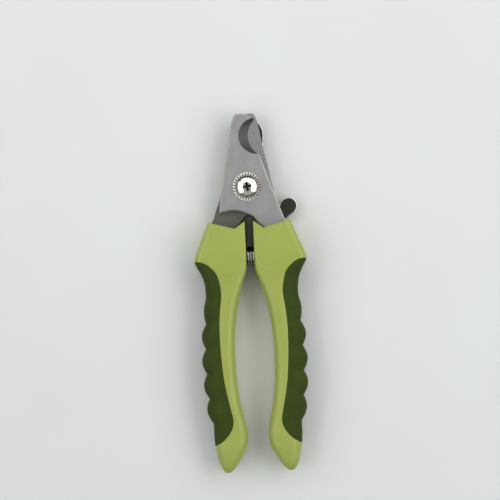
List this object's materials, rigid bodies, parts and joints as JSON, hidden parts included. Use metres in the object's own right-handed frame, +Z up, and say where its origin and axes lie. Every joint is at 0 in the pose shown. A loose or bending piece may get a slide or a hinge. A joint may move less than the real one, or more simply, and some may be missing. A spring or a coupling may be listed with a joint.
{
  "type": "scissor nail clipper",
  "caption": "Scissor-action pet nail clipper with crossed hooked blades, a swinging safety stop, a return spring and two-tone moulded handles with finger bumps.",
  "frame": {"origin": "under the middle of the whole tool, on the plane it lies on, with the jaws closed", "axes": "+Y towards the jaws, +X towards the handle of the front blade, +Z up out of the face that carries the screw head"},
  "size_m": [0.0562, 0.1799, 0.0164],
  "materials": {
    "stainless_steel": "satin ground stainless steel",
    "black_stop": "satin black coating over steel",
    "brass_shim": "rolled brass",
    "bright_steel": "bright steel",
    "chrome_screw": "polished nickel plate",
    "lime_plastic": "satin moulded lime green plastic",
    "green_grip": "matte dark green soft-touch rubber",
    "black_buffer": "matte black plastic"
  },
  "bodies": {
    "front_half": {"front_blade": "stainless_steel", "stop_shim": "brass_shim", "pivot_sleeve": "bright_steel", "pivot_screw": "chrome_screw", "star_lock_washer": "chrome_screw", "wave_washer": "bright_steel", "pivot_nut": "bright_steel", "right_handle_core": "lime_plastic", "right_grip": "green_grip", "return_spring": "bright_steel", "right_spring_peg": "bright_steel", "closing_buffer": "black_buffer"},
    "rear_half": {"rear_blade": "stainless_steel", "left_handle_core": "lime_plastic", "left_grip": "green_grip", "left_spring_peg": "bright_steel"},
    "stop": {"safety_stop": "black_stop"}
  },
  "joints": [
    {"name": "handle_pivot", "type": "hinge", "parent": "front_half", "child": "rear_half", "pos_m": [0, 0.0533, 0.0082], "axis": [0, 0, -1], "range_deg": [0, 30], "deforming": ["return_spring"]},
    {"name": "stop_swing", "type": "hinge", "parent": "front_half", "child": "stop", "pos_m": [0, 0.0533, 0.0082], "axis": [0, 0, 1], "range_deg": [0, 45]}
  ]
}
